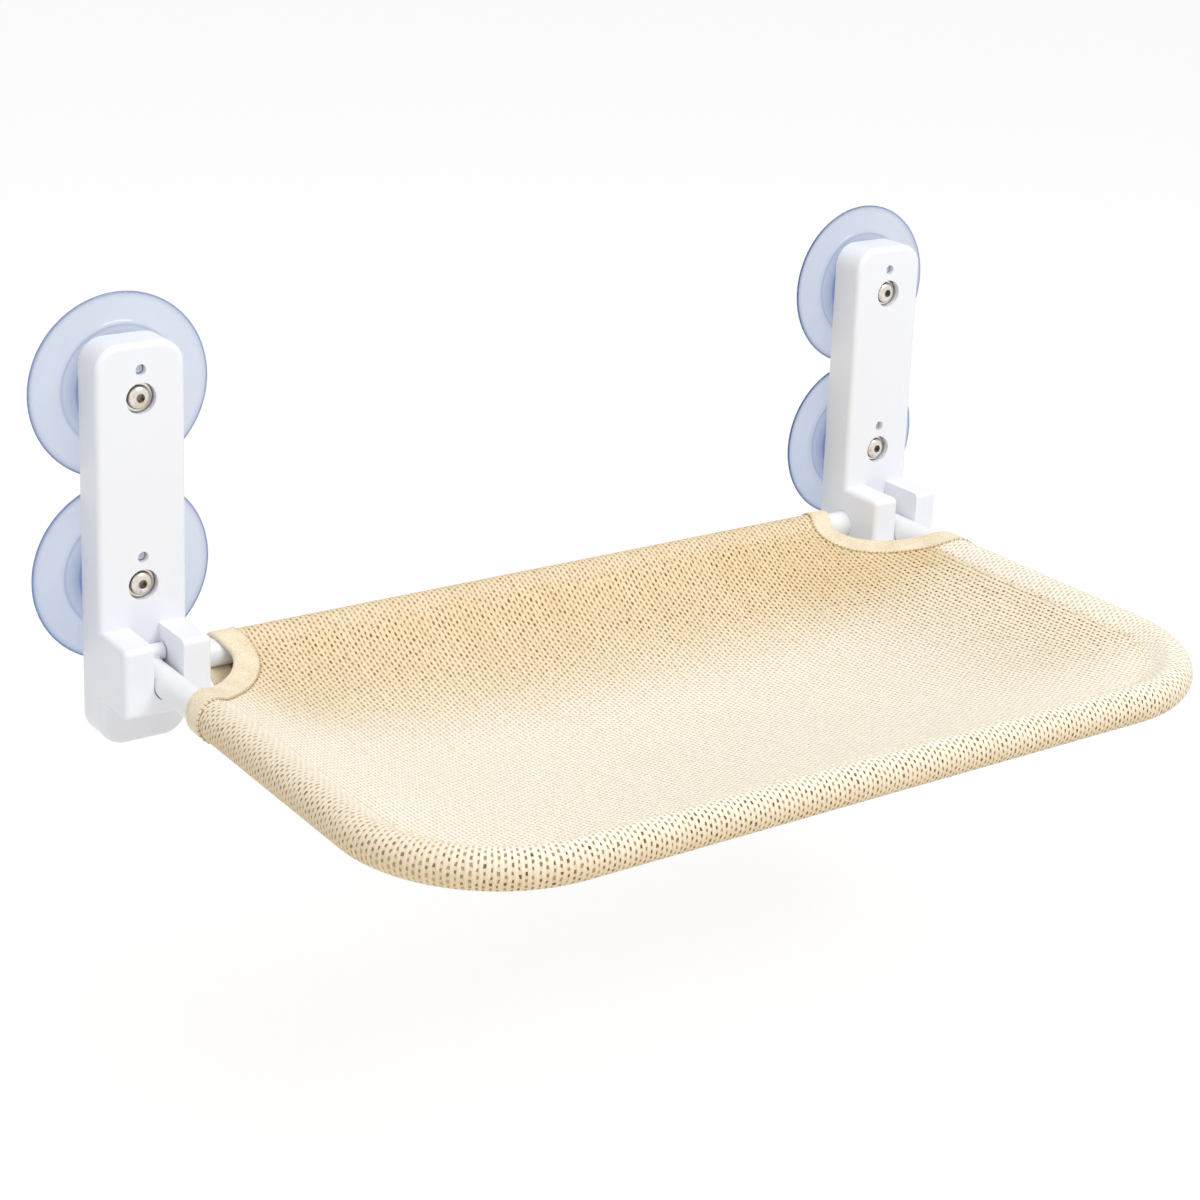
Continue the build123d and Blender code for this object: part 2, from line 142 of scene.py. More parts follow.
floor_drop = 0.16
floor_reach = 30
floor_height = cad_low.z - floor_drop
floor_mesh = bpy.data.meshes.new("floor")
square = [(-1, -1), (1, -1), (1, 1), (-1, 1)]
corners = [(x * floor_reach, y * floor_reach, floor_height) for x, y in square]
floor_mesh.from_pydata(corners, [], [(0, 1, 2, 3)])
floor = bpy.data.objects.new("floor", floor_mesh)
scene.collection.objects.link(floor)


def seen_straight(mix):
    """1 for a ray of the camera, of a reflection or through the vinyl, and 0 for the light on the perch."""
    path = mix.tree.nodes.new("ShaderNodeLightPath")
    seen = mix.math("MAXIMUM", path.outputs["Is Camera Ray"], path.outputs["Is Glossy Ray"])
    return mix.math("MAXIMUM", seen, path.outputs["Is Transmission Ray"])


# The floor looks white where it is seen, and keeps a faint shadow
glow_share = 0.75
glow_strength = 1.12
floor_paint = bpy.data.materials.new("floor_paint")
floor_paint.use_nodes = True
floor_paint.node_tree.nodes.clear()
mix = Mix(floor_paint.node_tree)
glow = mix.math("MULTIPLY", seen_straight(mix), glow_share)
lit = mix.add("ShaderNodeBsdfDiffuse", {"Color": paint(250, 250, 250)})
bright = mix.add("ShaderNodeEmission", {"Color": (1, 1, 1, 1), "Strength": glow_strength})
shown = mix.add("ShaderNodeMixShader", {0: glow, 1: lit, 2: bright})
mix.add("ShaderNodeOutputMaterial", {"Surface": shown}, output=slice(0, 0))
floor_mesh.materials.append(floor_paint)

room_light = 0.52
world = bpy.data.worlds.new("studio")
scene.world = world
world.use_nodes = True
world.node_tree.nodes.clear()
mix = Mix(world.node_tree)
strength = mix.math("MULTIPLY_ADD", seen_straight(mix), 1 - room_light, room_light)
air = mix.add("ShaderNodeBackground", {"Color": (1, 1, 1, 1), "Strength": strength})
mix.add("ShaderNodeOutputWorld", {"Surface": air}, output=slice(0, 0))

# Square soft lamps: name, place, size and power, all turned to the middle of the sling
sling_middle = Vector((0, -0.17, -0.1))
for name, place, size, power in (
    ("key_lamp", (0.5, -1.5, 1.5), 1.0, 19.5),
    ("side_lamp", (-1.6, -0.9, 0.7), 1.0, 3.5),
    ("top_lamp", (-0.1, -0.3, 1.5), 1.2, 7),
):
    lamp_data = bpy.data.lights.new(name, "AREA")
    lamp_data.shape = "SQUARE"
    lamp_data.size = size
    lamp_data.energy = power
    lamp = bpy.data.objects.new(name, lamp_data)
    lamp.location = place
    lamp.rotation_euler = (sling_middle - Vector(place)).to_track_quat("-Z", "Y").to_euler()
    scene.collection.objects.link(lamp)

# Bracket housings and back covers
# White ABS mouldings: the housing with its forked hinge block, and the cover screwed on behind it.
# A satin face from the mould, with a faint grain and soft differences of gloss.


def finish(name, **sockets):
    """A new material with one Principled shader, whose named sockets are set straight away."""
    material = bpy.data.materials.new(name)
    material.use_nodes = True
    shader = material.node_tree.nodes["Principled BSDF"]
    for key, value in sockets.items():
        shader.inputs[key.replace("_", " ")].default_value = value
    return material, shader, Mix(material.node_tree)


def pattern(mix, scale, detail=2.0, place=None):
    """Noise from 0 to 1, at so many cells to the metre of the place, or else of object coordinates."""
    if place is None:
        place = mix.add("ShaderNodeTexCoord", output=3)
    return mix.add("ShaderNodeTexNoise", {"Vector": place, "Scale": scale, "Detail": detail})


def relief(shader, mix, height, strength, depth):
    """Bump that follows a height from 0 to 1, as deep as the depth."""
    bump = mix.add("ShaderNodeBump", {"Height": height, "Strength": strength, "Distance": depth})
    mix.link(bump, shader, "Normal")


def gloss(shader, mix, value, smoothest, roughest):
    """Roughness that goes from the smoothest to the roughest with a noise."""
    mix.link(mix.ramp(value, 0.3, 0.7, smoothest, roughest), shader, "Roughness")


housing_plastic, shader, mix = finish("housing_plastic", Base_Color=paint(242, 244, 250), IOR=1.5)
gloss(shader, mix, pattern(mix, scale=45.0, detail=3.0), smoothest=0.3, roughest=0.42)
relief(shader, mix, pattern(mix, scale=1400.0), strength=0.25, depth=0.04 * MM)

cover_plastic, shader, mix = finish("cover_plastic", Base_Color=paint(236, 237, 240), IOR=1.5)
grain = pattern(mix, scale=900.0, detail=3.0)
gloss(shader, mix, grain, smoothest=0.48, roughest=0.6)
relief(shader, mix, grain, strength=0.5, depth=0.08 * MM)


def dress(node, material):
    """Gives a CAD node that stays in view its material."""
    nodes[node].data.materials.clear()
    nodes[node].data.materials.append(material)


for side in ("left", "right"):
    dress(f"bracket_{side}", housing_plastic)
    dress(f"back_cover_{side}", cover_plastic)

# Suction cups
# Clear soft vinyl with a blue tint, moulded in one piece: a thin skirt with a beaded rim, two raised
# rings, a neck that carries the screw, and a locating peg that shows in the small hole of the housing.
cup_steps, peg_steps = 160, 24
peg_rise = 14.5 * MM

# The profile of a cup, stretch by stretch from the middle of its face to its pocket for the insert, and
# that of its peg, as points of (radius, distance from the glass) in mm
hollow_face = [(0, 1.4), (9, 1.33), (18, 1.12), (27, 0.75), (34, 0.4), (40.8, 0.02), (44, 0), (46.9, 0)]
rim_bead = [(47.3, 0.08), (47.65, 0.3), (47.8, 0.7), (47.65, 1.1), (47.3, 1.32), (46.8, 1.4)]
skirt = [(46.2, 1.3), (45.4, 1.36), (43, 1.55), (40, 1.86), (37, 2.25), (34.4, 2.68)]
outer_ring = [(33.7, 2.95), (33.2, 3.35), (32.6, 3.52), (32.0, 3.42), (31.5, 3.12)]
ring_step = [(31.0, 3.05), (30, 3.2), (28, 3.75), (26.3, 4.35)]
inner_ring = [(25.7, 4.75), (25.1, 5.0), (24.4, 4.92), (23.9, 4.72)]
crown = [(23.2, 4.75), (20, 5.12), (17, 5.4), (14.2, 5.62), (12.6, 5.75)]
neck = [(11.9, 6.0), (11.5, 6.7), (11.5, 14.7), (11.35, 15.05), (11, 15.2)]
screw_hole = [(3.3, 15.2), (3.25, 15.1), (3.25, 14.0)]
insert_pocket = [(5.5, 13.95), (5.5, 6.1), (5.4, 6.0), (0, 6.0)]
cup_outline = hollow_face + rim_bead + skirt + outer_ring + ring_step
cup_outline += inner_ring + crown + neck + screw_hole + insert_pocket
peg_outline = [
    (0, 4.4), (2.2, 4.4), (2.3, 4.5), (2.3, 23.3), (2.2, 23.8), (1.9, 24.0), (1.2, 24.0), (1.0, 23.7),
    (0.5, 23.6), (0, 23.6),
]


def turned(outline, steps, centre_x, centre_z):
    """Points of a turned shape: the outline (radius, distance from the glass) is carried round its axis."""
    radius, out = np.array(outline).T * MM
    angle = np.linspace(0, 2 * np.pi, steps, endpoint=False)[:, None]
    x = centre_x + radius * np.cos(angle)
    z = centre_z + radius * np.sin(angle)
    y = np.broadcast_to(-out, x.shape)
    return np.stack([x, y, z], axis=-1)


def grid_faces(rows, columns, wrap_rows=False, wrap_columns=False, first=0):
    """Quads of a grid of points stored row by row, closed round in either direction if asked."""
    row = np.arange(rows if wrap_rows else rows - 1)[:, None]
    column = np.arange(columns if wrap_columns else columns - 1)[None, :]
    next_row = (row + 1) % rows
    next_column = (column + 1) % columns
    quads = [row * columns + column, row * columns + next_column]
    quads += [next_row * columns + next_column, next_row * columns + column]
    return first + np.stack([np.broadcast_to(q, (row.size, column.size)) for q in quads], -1).reshape(-1, 4)


def piece(name, points, faces, material):
    """A new smooth mesh object at the origin, of points (x, y, z) and faces of point numbers."""
    mesh = bpy.data.meshes.new(name)
    mesh.from_pydata(np.reshape(points, (-1, 3)).tolist(), [], np.asarray(faces).tolist())
    mesh.validate()
    mesh.materials.append(material)
    mesh.polygons.foreach_set("use_smooth", np.full(len(mesh.polygons), True))
    made = bpy.data.objects.new(name, mesh)
    scene.collection.objects.link(made)
    return made


def close_up(made):
    """Merges doubled points and turns the faces of a closed shell outwards."""
    merge_distance = 1e-6
    work = bmesh.new()
    work.from_mesh(made.data)
    bmesh.ops.remove_doubles(work, verts=work.verts, dist=merge_distance)
    bmesh.ops.dissolve_degenerate(work, edges=work.edges, dist=merge_distance)
    bmesh.ops.recalc_face_normals(work, faces=work.faces)
    work.to_mesh(made.data)
    work.free()


def vertex_places(made):
    """The places of a mesh's vertices, one row each."""
    places = np.zeros(len(made.data.vertices) * 3)
    made.data.vertices.foreach_get("co", places)
    return places.reshape(-1, 3)


def mark(made, layer_name, values):
    """Writes one value from 0 to 1 to each vertex, for a material to read."""
    layer = made.data.attributes.new(layer_name, "FLOAT", "POINT")
    layer.data.foreach_set("value", np.clip(values, 0, 1).astype(np.float32))


def marked(mix, layer_name):
    """The values that were written to the vertices, as an input for other nodes."""
    return mix.add("ShaderNodeAttribute", output=2, attribute_name=layer_name)


def peak(distance, width):
    """A bell curve: 1 at distance 0, and exp(-1) at one width."""
    return np.exp(-((distance / width) ** 2))


cup_vinyl, shader, mix = finish("cup_vinyl", IOR=1.42)
clearness = mix.ramp(marked(mix, "vinyl_milky"), 0.0, 1.0, 0.9, 0.1)
mix.link(clearness, shader, "Transmission Weight")
cloud = pattern(mix, scale=30.0)
# The marked depth of blue holds painted shade and painted light as well as the tint
depth = mix.math("MULTIPLY_ADD", cloud, 0.1, marked(mix, "vinyl_tint_shade_and_light"), clamp=True)
tint = mix.blend(depth, paint(226, 233, 245), paint(112, 134, 186))
mix.link(tint, shader, "Base Color")
gloss(shader, mix, cloud, smoothest=0.1, roughest=0.14)
relief(shader, mix, cloud, strength=0.1, depth=0.1 * MM)

# How deep the blue looks: at the rim, on the rings, with painted shade in two steps inside them towards the
# bracket, a little more in the lower cups and on the right, and with painted light, a little less towards
# the upper right of each cup
rim_start, rim_width, rim_blue = 46.4 * MM, 0.9 * MM, 0.8
ring_width = 0.7 * MM
ring_blues = ((31.3 * MM, 0.3), (23.9 * MM, 0.35))
bracket_shade_steps = ((32.8 * MM, 1.5 * MM, 0.2), (29 * MM, 7 * MM, 0.5))
row_blue = {"upper": 0.04, "lower": 0.12}
side_blue = {"left": 0, "right": 0.06}
light_from, painted_light_share = (0.8, 0.6), 0.09
neck_end = 16 * MM
peg_reach, peg_start = 2.4 * MM, 7 * MM

for side in ("left", "right"):
    for row in ("upper", "lower"):
        low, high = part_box(f"suction_cup_{row}_{side}")
        centre_x, centre_z = (low.x + high.x) / 2, (low.z + high.z) / 2
        cup = turned(cup_outline, cup_steps, centre_x, centre_z)
        peg = turned(peg_outline, peg_steps, centre_x, centre_z + peg_rise)
        points = np.concatenate([cup.reshape(-1, 3), peg.reshape(-1, 3)])
        faces = np.concatenate([
            grid_faces(cup.shape[0], cup.shape[1], wrap_rows=True),
            grid_faces(peg.shape[0], peg.shape[1], wrap_rows=True, first=cup.shape[0] * cup.shape[1]),
        ])
        cup_piece = piece(f"vinyl_cup_{row}_{side}", points, faces, cup_vinyl)
        close_up(cup_piece)
        x, y, z = (vertex_places(cup_piece) - [centre_x, 0, centre_z]).T
        reach = np.hypot(x, z)
        blue = rim_blue * np.clip((reach - rim_start) / rim_width, 0, 1)
        for radius, share in ring_blues:
            blue += share * peak(reach - radius, ring_width)
        # Painted shade inside the rings, deepening towards the bracket
        for radius, width, share in bracket_shade_steps:
            blue += share * np.clip((radius - reach) / width, 0, 1)
        # Painted light: less blue towards the upper right of each cup, where the light falls
        lit_side = (light_from[0] * x + light_from[1] * z) / (high.x - centre_x)
        blue += row_blue[row] + side_blue[side] - painted_light_share * lit_side
        mark(cup_piece, "vinyl_tint_shade_and_light", np.where(y < -neck_end, 0, blue))
        mark(cup_piece, "vinyl_milky", (np.hypot(x, z - peg_rise) < peg_reach) & (y < -peg_start))
        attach(cup_piece, "brackets")
        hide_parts(f"suction_cup_{row}_{side}")

# Fasteners of the cups and covers
# Polished stainless button head screws on washers, down in the stepped bores of the housing, which
# turn in hexagon inserts of brass inside the necks. Small screws hold the covers.


def apart(mix, vector):
    """The x, y and z of a vector, as inputs for other nodes."""
    split = mix.tree.nodes.new("ShaderNodeSeparateXYZ")
    mix.tree.links.new(vector, split.inputs[0])
    return split.outputs


fastener_steel, shader, mix = finish("fastener_steel", Metallic=1.0)
scratch = pattern(mix, scale=700.0, detail=4.0)
gloss(shader, mix, scratch, smoothest=0.12, roughest=0.26)
relief(shader, mix, scratch, strength=0.3, depth=0.02 * MM)

# Painted shade in the grooves round the head and the washer, and in the socket, on all four screws alike:
# the places are folded over at the middle of the perch and halfway between the upper and the lower cups
socket_radius, socket_edge = 2.6 * MM, 0.7 * MM
groove_lines = ((6.0 * MM, 0.45 * MM), (7.6 * MM, 0.6 * MM))
groove_shade_strength = 0.85
from_origin = apart(mix, mix.add("ShaderNodeTexCoord", output=3))
low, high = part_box("cup_screw_upper_left")
lower_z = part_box("cup_screw_lower_left")[0].z
head_x, head_z, cup_drop = -(low.x + high.x) / 2, (low.z + high.z) / 2, low.z - lower_z
across = mix.math("SUBTRACT", mix.math("ABSOLUTE", from_origin[0]), head_x)
from_middle = mix.math("ABSOLUTE", mix.math("ADD", from_origin[2], cup_drop / 2 - head_z))
rise = mix.math("SUBTRACT", from_middle, cup_drop / 2)
squares = mix.math("ADD", mix.math("MULTIPLY", across, across), mix.math("MULTIPLY", rise, rise))
reach = mix.math("SQRT", squares)
groove_shade_mask = mix.ramp(reach, socket_radius, socket_radius - socket_edge)
for radius, half_width in groove_lines:
    off = mix.math("ABSOLUTE", mix.math("SUBTRACT", reach, radius))
    groove_shade_mask = mix.math("MAXIMUM", groove_shade_mask, mix.ramp(off, half_width, 0.0))
painted_groove_shade = mix.math("MULTIPLY", groove_shade_mask, groove_shade_strength)
# Painted shade: the steel turns dark brown in the grooves and the socket
steel_and_shade_colour = mix.blend(painted_groove_shade, paint(226, 220, 212), paint(84, 75, 66))
mix.link(steel_and_shade_colour, shader, "Base Color")

insert_brass, shader, mix = finish("insert_brass", Base_Color=paint(205, 172, 106), Metallic=1.0)
turning = pattern(mix, scale=500.0)
gloss(shader, mix, turning, smoothest=0.25, roughest=0.4)
relief(shader, mix, turning, strength=0.2, depth=0.02 * MM)

for side in ("left", "right"):
    dress(f"cover_screws_{side}", fastener_steel)
    for row in ("upper", "lower"):
        dress(f"cup_screw_{row}_{side}", fastener_steel)
        dress(f"cup_washer_{row}_{side}", fastener_steel)
        dress(f"cup_insert_{row}_{side}", insert_brass)

# Crossbar and folding frame
# Steel tube of 15 mm in white powder coat: the straight bar between the brackets, and the long bar
# that is bent twice to go round the front. The coat has a faint orange peel.
tube_paint, shader, mix = finish("tube_paint", Base_Color=paint(240, 241, 243), IOR=1.5)
gloss(shader, mix, pattern(mix, scale=45.0), smoothest=0.3, roughest=0.38)
relief(shader, mix, pattern(mix, scale=1100.0), strength=0.25, depth=0.04 * MM)
dress("crossbar", tube_paint)
dress("folding_frame", tube_paint)

# Knuckles, their dowels and the hinge pins
# White moulded knuckles plug the ends of the folding frame and turn on bright steel pins.
knuckle_plastic, shader, mix = finish("knuckle_plastic", Base_Color=paint(238, 239, 242), IOR=1.5)
grain = pattern(mix, scale=800.0)
gloss(shader, mix, grain, smoothest=0.3, roughest=0.45)
relief(shader, mix, grain, strength=0.25, depth=0.04 * MM)

pin_steel, shader, mix = finish("pin_steel", Base_Color=paint(196, 196, 198), Metallic=1.0)
drawn = pattern(mix, scale=600.0)
gloss(shader, mix, drawn, smoothest=0.2, roughest=0.34)
relief(shader, mix, drawn, strength=0.2, depth=0.02 * MM)

for side in ("left", "right"):
    dress(f"knuckle_{side}", knuckle_plastic)
    dress(f"knuckle_dowel_{side}", pin_steel)
    dress(f"hinge_pin_{side}", pin_steel)

# Sling
# Open mesh of cream yarn: proud yarns, and short ones that cross the gaps in turn. The panel sags; the
# hem is a strip folded round the tube and sewn to it, and a slack sleeve holds the rear bar. The two
# rear corners are cut off to clear the hinges.
bar_low, bar_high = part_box("crossbar")
tube_low, tube_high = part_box("folding_frame")
tube_radius = (bar_high.z - bar_low.z) / 2
axis_height = (bar_high.z + bar_low.z) / 2
bar_line = (bar_high.y + bar_low.y) / 2
rail_line = tube_high.x - tube_radius
front_line = tube_low.y + tube_radius
tube_bend = 72 * MM

cloth_thickness = 1.3 * MM
roll_clearance = 1.3 * MM
roll_radius = tube_radius + roll_clearance
seam_inset = 12.2 * MM
seam_rise = 3 * MM
turn_under = 10 * MM
sag_depth = 34 * MM
sag_across_shares, sag_along_shares = (-0.6, 0, -0.4, 0, 1), (0.3, 0.49, 0.93)
cutout_across = 42.3 * MM
cutout_along = 50 * MM
edge_slant = 1.0
edge_flare = 22 * MM
cuff_start, cuff_reach = 9 * MM, 4.5 * MM
flap_start, flap_length, flap_reach = 25 * MM, 15 * MM, 3.8 * MM
droop = 13.7 * MM

seam_x = rail_line - seam_inset
seam_front = front_line + seam_inset
seam_rear = bar_line - seam_inset
seam_bend = tube_bend - seam_inset
cutout_end = bar_line - cutout_along
rear_end = rail_line - cutout_across

seam_reach = math.hypot(seam_inset, seam_rise)
rise_length = math.sqrt(seam_reach**2 - roll_radius**2)
lean = math.acos(roll_radius / seam_reach)
seam_angle = math.atan2(seam_rise, seam_inset)
roll_start = seam_angle + lean
roll_turn = 2 * (math.pi - lean)
roll_length = 2 * rise_length + roll_radius * roll_turn
roll_foot = rise_length + roll_radius * (1.5 * math.pi - roll_start)
strip_width = roll_length + turn_under


def smooth(share):
    """An even start and stop: 0 below 0, 1 above 1, and 3 s^2 - 2 s^3 of the share s between."""
    share = np.clip(share, 0, 1)
    return share**2 * (3 - 2 * share)


def step_up(value, start, length):
    """A smooth step from 0 to 1 that begins at the start and takes the length."""
    return smooth((value - start) / length)


def between(first, last, share):
    """Goes straight from the first to the last as the share goes from 0 to 1."""
    return first + (last - first) * share


def wrap(beyond, slack=0.0):
    """Section of the fold round a tube: inward and upward from its axis, at a distance past the seam.

    A straight rise, tangent to the roll, an arc round the tube, and a straight return under the seam,
    which hangs down by the slack where it reaches the seam.
    """
    beyond = np.asarray(beyond, float)
    angle = roll_start + np.clip((beyond - rise_length) / roll_radius, 0, roll_turn)
    start = np.array([seam_inset, seam_rise])
    top = roll_radius * np.array([math.cos(roll_start), math.sin(roll_start)])
    foot = roll_radius * np.array([math.cos(roll_start + roll_turn), math.sin(roll_start + roll_turn)])
    under = start - np.array([0, cloth_thickness])
    rise = np.clip(beyond / rise_length, 0, 1)[..., None]
    back = np.clip((beyond - roll_length + rise_length) / rise_length, 0, 1)[..., None]
    circle = roll_radius * np.stack([np.cos(angle), np.sin(angle)], -1)
    section = np.where(rise < 1, start + rise * (top - start), circle)
    section = np.where(back > 0, foot + back * (under - foot), section)
    hang = slack * step_up(beyond, roll_foot, roll_length - roll_foot)
    return section[..., 0], section[..., 1] - hang


def panel_height(x, y):
    """Height of the cloth between the seams: the product of a sag across and one along.

    Each is a polynomial, factors from the highest power down, of the distance from the middle as a share
    of the distance to the seam. The one along is multiplied by 1 minus the square of that share, and is
    deeper towards the rear. In the two front corners the sag at the nearest point of the curved seam is
    taken off again. Slow sine waves give the middle a faint ripple.
    """
    middle = (seam_rear + seam_front) / 2
    reach = (seam_rear - seam_front) / 2

    def sag(at_x, at_y):
        across = np.clip(at_x / seam_x, -1, 1)
        along = np.clip((at_y - middle) / reach, -1, 1)
        trough = (1 - along**2) * np.polyval(sag_along_shares, along)
        return sag_depth * np.polyval(sag_across_shares, across) * trough

    over_x = np.maximum(np.abs(x) - (seam_x - seam_bend), 0)
    over_y = np.maximum(seam_front + seam_bend - y, 0)
    radial = np.maximum(np.hypot(over_x, over_y), 1e-9)
    corner_x = np.sign(x) * (seam_x - seam_bend + over_x / radial * seam_bend)
    corner_y = seam_front + seam_bend - over_y / radial * seam_bend
    fade = np.clip(radial / seam_bend, 0, 1) ** 3
    inside = (over_x > 0) & (over_y > 0)
    corner = np.where(inside, sag(corner_x, corner_y) * fade, 0)
    ripple_height, flat_margin = 0.25 * MM, 90 * MM
    ripple = ripple_height * np.sin(x / (31 * MM) + 2 * np.sin(y / (50 * MM))) * np.sin(y / (43 * MM) + 1.3)
    ripple = ripple * smooth((seam_x - np.abs(x)) / flat_margin)
    return axis_height + seam_rise - sag(x, y) + corner + ripple


def arc_points(centre, radius, start, end, count):
    """Points of an arc from one angle to another, the first left out."""
    angle = np.linspace(start, end, count + 1)[1:]
    return np.stack([centre[0] + radius * np.cos(angle), centre[1] + radius * np.sin(angle)], -1)


def straight(start, end, count):
    """Points of a straight stretch, the first left out."""
    return between(np.asarray(start), np.asarray(end), np.linspace(0, 1, count + 1)[1:, None])


def cut_line(count):
    """Evenly spaced points of the left cut, a Bezier curve that leaves the rear seam straight forward."""
    start, end = np.array([-rear_end, seam_rear]), np.array([-seam_x, cutout_end])
    start_pull, end_pull, end_direction = 12 * MM, 16 * MM, np.array([0.74, 0.67])
    pull, lean_in = start - [0, start_pull], end + end_direction * end_pull
    done = np.linspace(0, 1, 200)[:, None]
    left = 1 - done
    points = left**3 * start + 3 * left**2 * done * pull + 3 * left * done**2 * lean_in + done**3 * end
    run = np.concatenate([[0], np.cumsum(np.linalg.norm(np.diff(points, axis=0), axis=1))])
    place = np.linspace(0, run[-1], count)
    return np.stack([np.interp(place, run, points[:, 0]), np.interp(place, run, points[:, 1])], -1)


# The outline of the panel on the left, from the rear seam along the cut-out and the rail to mid corner
cut_steps, rail_steps, corner_steps, front_steps = 26, 70, 18, 138
bend_centre = (-seam_x + seam_bend, seam_front + seam_bend)
left_side = np.concatenate([
    cut_line(cut_steps + 1),
    straight((-seam_x, cutout_end), (-seam_x, bend_centre[1]), rail_steps),
    arc_points(bend_centre, seam_bend, math.pi, 1.25 * math.pi, corner_steps),
])
mid_corner = left_side[-1]
front_side = np.concatenate([
    [mid_corner],
    arc_points(bend_centre, seam_bend, 1.25 * math.pi, 1.5 * math.pi, corner_steps),
    straight((bend_centre[0], seam_front), (-bend_centre[0], seam_front), front_steps),
    arc_points((-bend_centre[0], bend_centre[1]), seam_bend, 1.5 * math.pi, 1.75 * math.pi, corner_steps),
])
right_side = left_side * [-1, 1]
across_count = len(front_side)
along_count = len(left_side)
rear_side = np.concatenate([[left_side[0]], straight(left_side[0], right_side[0], across_count - 1)])

# The panel: each point is a blend of the four sides, less one of the four corners (a Coons patch)
across_share = np.linspace(0, 1, across_count)[None, :, None]
along_share = np.linspace(0, 1, along_count)[:, None, None]
rear_corners = between(rear_side[0], rear_side[-1], across_share)
front_corners = between(front_side[0], front_side[-1], across_share)
plan = between(rear_side[None], front_side[None], along_share)
plan = plan + between(left_side[:, None], right_side[:, None], across_share)
plan = plan - between(rear_corners, front_corners, along_share)
panel_points = np.concatenate([plan, panel_height(plan[..., 0], plan[..., 1])[..., None]], -1)

# The folded strips: the seam's points and outward directions, then the section at each of them
past_seam = np.concatenate([
    np.linspace(0, rise_length, 4)[:-1],
    np.linspace(rise_length, roll_length - rise_length, 23)[:-1],
    np.linspace(roll_length - rise_length, roll_length, 4)[:-1],
    np.linspace(roll_length, strip_width, 4),
])[1:]


def slant(beyond):
    """How far the cut edge has moved along the rail, past the seam: a line that levels off as a tanh."""
    return edge_flare * np.tanh(edge_slant * beyond / edge_flare)


def cuff(beyond):
    """How far the end of the rear sleeve has moved towards its bracket, at a distance past the seam.

    It widens twice: as 1 minus a bell curve, and then in a smooth step. The part turned under the panel
    is cut back, a little past the panel's own corner.
    """
    flap = flap_reach * step_up(beyond, flap_start, flap_length)
    whole = cuff_reach * (1 - peak(beyond, cuff_start)) + flap
    cut_back_share = 1.2
    return whole * (1 - cut_back_share * step_up(beyond, roll_length, turn_under))


def strip(seam, outward, moved, slack=0.0):
    """Points of a folded strip, for each distance past the seam and each seam point.

    seam holds points (x, y), outward their level unit directions, and moved how far each row of the
    strip is pulled back along the tube at its two ends. A slack return comes back up to the panel at
    the edge of the strip.
    """
    inward, rise = wrap(past_seam, slack)
    inward = inward[:, None, None]
    axis = seam + outward * seam_inset
    place = axis - outward * inward + moved
    height = np.broadcast_to(axis_height + rise[:, None], place.shape[:2])
    tucked = np.clip(past_seam - roll_length, 0, None)[:, None, None]
    place = place - outward * tucked
    under = panel_height(place[..., 0], place[..., 1]) - cloth_thickness
    under = under - slack * (1 - smooth(tucked[..., 0] / turn_under))
    height = np.where(tucked[..., 0] > 0, under, height)
    return np.concatenate([place, height[..., None]], -1)


hem_seam = np.concatenate([left_side[cut_steps:], front_side[1:], right_side[cut_steps:-1][::-1]])
over = np.stack([
    np.sign(hem_seam[:, 0]) * np.maximum(np.abs(hem_seam[:, 0]) + bend_centre[0], 0),
    np.minimum(hem_seam[:, 1] - bend_centre[1], 0),
], -1)
hem_outward = over / np.linalg.norm(over, axis=1)[:, None]
settle_length = 60 * MM
settle = 1 - step_up(-hem_seam[:, 1], -cutout_end, settle_length)
hem_moved = np.zeros((len(past_seam), len(hem_seam), 2))
hem_moved[..., 1] = -slant(past_seam)[:, None] * settle
hem_points = strip(hem_seam, hem_outward, hem_moved)
rear_outward = np.tile([0.0, 1.0], (across_count, 1))
rear_moved = np.zeros((len(past_seam), across_count, 2))
cuff_margin = 50 * MM
from_middle = step_up(np.abs(rear_side[:, 0]), rear_end - cuff_margin, cuff_margin)
rear_moved[..., 0] = cuff(past_seam)[:, None] * np.sign(rear_side[:, 0]) * from_middle
rear_points = strip(rear_side, rear_outward, rear_moved, droop)

# The flat places, which the weave follows: the hem is a strip cut along its own edge, so its yarns
# keep to the tube round the bends
steps = np.linalg.norm(np.diff(hem_seam + hem_outward * seam_inset, axis=0), axis=1)
hem_run = np.concatenate([[0], np.cumsum(steps)])
rows_past = np.concatenate([[0], past_seam])
hem_flat = np.stack(np.broadcast_arrays(hem_run[None], rows_past[:, None]), -1).copy()
hem_flat[1:, :, 0] += hem_moved[..., 1] * np.sign(hem_seam[:, 0])
rear_flat = np.stack(np.broadcast_arrays(rear_side[:, 0][None], seam_rear + rows_past[:, None]), -1).copy()
rear_flat[1:, :, 0] += rear_moved[..., 0]

# One mesh: the panel's grid, and the strips welded to its sides
panel_count = across_count * along_count
index = np.arange(panel_count).reshape(along_count, across_count)
hem_index = np.concatenate([index[cut_steps:, 0], index[-1, 1:], index[cut_steps:-1, -1][::-1]])
sling_points = np.concatenate([part.reshape(-1, 3) for part in (panel_points, hem_points, rear_points)])


def corner_table(table):
    """The four corners of each quad of a table of values, in the order of a face."""
    corners = np.stack([table[:-1, :-1], table[:-1, 1:], table[1:, 1:], table[1:, :-1]], 2)
    return corners.reshape(-1, 4, *table.shape[2:])


def strip_table(first_row, start):
    """Point numbers of a strip, whose first row is points of the panel and whose other rows follow."""
    rows, columns = len(past_seam), len(first_row)
    return np.concatenate([first_row[None], start + np.arange(rows * columns).reshape(rows, columns)])


hem_faces = corner_table(strip_table(hem_index, panel_count))
rear_faces = corner_table(strip_table(index[0], panel_count + hem_points.size // 3))
sling_faces = np.concatenate([corner_table(index)[:, ::-1], hem_faces[:, ::-1], rear_faces])
corner_flat = np.concatenate([
    corner_table(plan)[:, ::-1], corner_table(hem_flat)[:, ::-1], corner_table(rear_flat),
])

